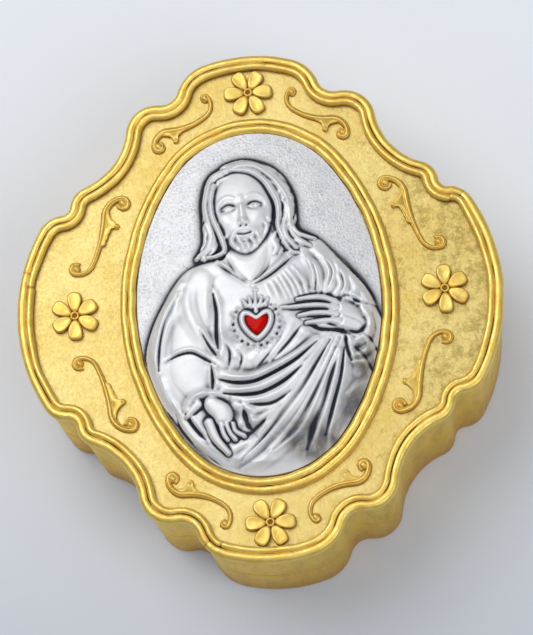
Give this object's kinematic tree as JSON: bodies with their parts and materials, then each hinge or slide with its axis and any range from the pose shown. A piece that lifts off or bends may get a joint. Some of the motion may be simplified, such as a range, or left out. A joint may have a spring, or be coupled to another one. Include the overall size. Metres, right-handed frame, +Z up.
{
  "type": "rosary box",
  "caption": "Small gilt keepsake box with a scalloped outline, a lid hinged at the back, scroll and flower ornament and an oval silver relief medallion.",
  "frame": {"origin": "middle of the flat underside, below the centre of the scalloped outline", "axes": "+Z up, +Y towards the hinge at the back, +X to the right as seen with the hinge away from the viewer"},
  "size_m": [0.064, 0.0729, 0.0244],
  "materials": {
    "tray_gilt": "satin gilt",
    "lid_gilt": "matte pale gilt",
    "moulding_gilt": "polished gilt",
    "ornament_gilt": "satin gilt",
    "brass_plain": "plain brass",
    "silver": "oxidised silver",
    "enamel": "glossy red enamel",
    "velvet": "velvet"
  },
  "bodies": {
    "base": {"base_pan": "tray_gilt", "inner_band": "brass_plain", "base_lining": "velvet", "hinge_base_leaf": "brass_plain", "hinge_pin": "brass_plain"},
    "lid": {"lid_shell": "lid_gilt", "rim_moulding": "moulding_gilt", "bezel": "moulding_gilt", "medallion": "silver", "heart_enamel": "enamel", "flower_back": "ornament_gilt", "flower_front": "ornament_gilt", "flower_right": "ornament_gilt", "flower_left": "ornament_gilt", "end_scroll_back_right": "ornament_gilt", "end_scroll_back_left": "ornament_gilt", "end_scroll_front_right": "ornament_gilt", "end_scroll_front_left": "ornament_gilt", "side_scroll_back_right": "ornament_gilt", "side_scroll_back_left": "ornament_gilt", "side_scroll_front_right": "ornament_gilt", "side_scroll_front_left": "ornament_gilt", "lid_lining": "velvet", "hinge_lid_leaf": "brass_plain"}
  },
  "joints": [
    {"name": "lid_hinge", "type": "hinge", "parent": "base", "child": "lid", "pos_m": [0, 0.03585, 0.0104], "axis": [-1, 0, 0], "range_deg": [0, 100]}
  ]
}
